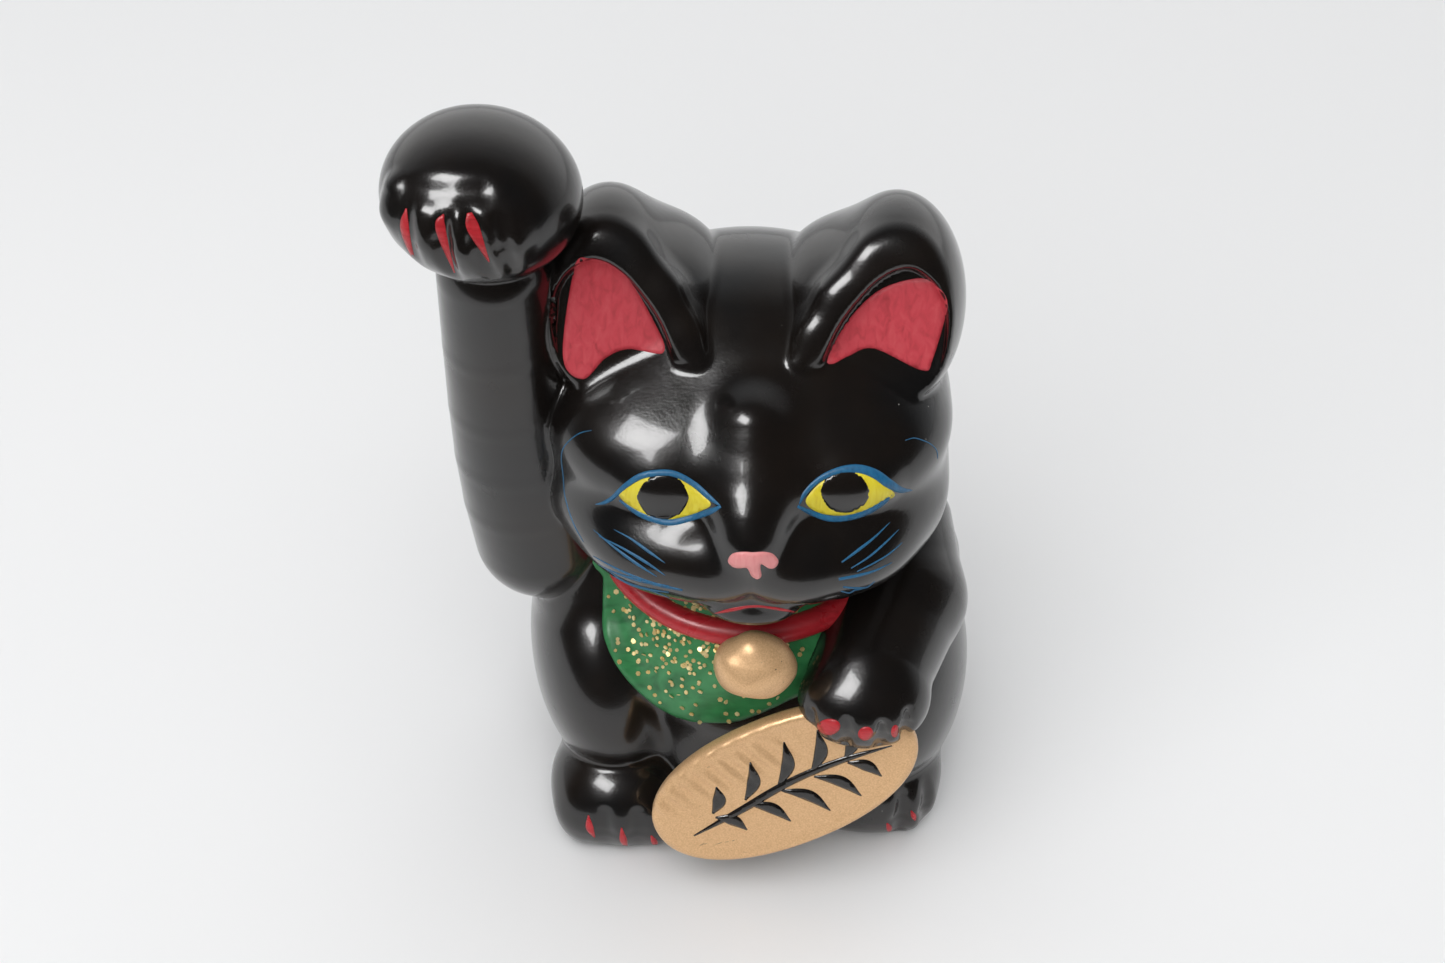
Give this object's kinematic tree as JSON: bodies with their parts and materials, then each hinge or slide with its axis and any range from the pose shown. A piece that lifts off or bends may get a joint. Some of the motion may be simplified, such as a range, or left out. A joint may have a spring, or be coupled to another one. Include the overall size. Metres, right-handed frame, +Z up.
{
  "type": "beckoning cat figurine",
  "caption": "Seated hollow ceramic cat, right paw raised, holding an oval coin, with a collar bell, a bib and a base stopper.",
  "frame": {"origin": "on the table, under the middle of the bounding box", "axes": "+Z up; the cat faces -Y; its raised right paw is on the -X side"},
  "size_m": [0.1284, 0.109, 0.182],
  "materials": {
    "black_glaze": "deep gloss",
    "gold_paint": "satin",
    "red_paint": "semi-gloss",
    "green_paint": "semi-gloss",
    "yellow_paint": "semi-gloss",
    "blue_paint": "semi-gloss",
    "pink_paint": "semi-gloss",
    "gold_glitter": "glitter flakes",
    "stopper_rubber": "matte"
  },
  "bodies": {
    "figure": {"body_casting": "black_glaze", "head_casting": "black_glaze", "raised_arm_casting": "black_glaze", "lowered_arm_casting": "black_glaze", "right_hind_paw": "black_glaze", "left_hind_paw": "black_glaze", "tail": "black_glaze", "oval_coin": "gold_paint", "collar_band": "red_paint", "chest_bib": "green_paint", "bell": "gold_paint"},
    "stopper": {"base_stopper": "stopper_rubber"}
  },
  "joints": [
    {"name": "stopper_pull", "type": "slide", "parent": "figure", "child": "stopper", "axis": [0, 0, -1], "range_m": [0, 0.016]}
  ]
}
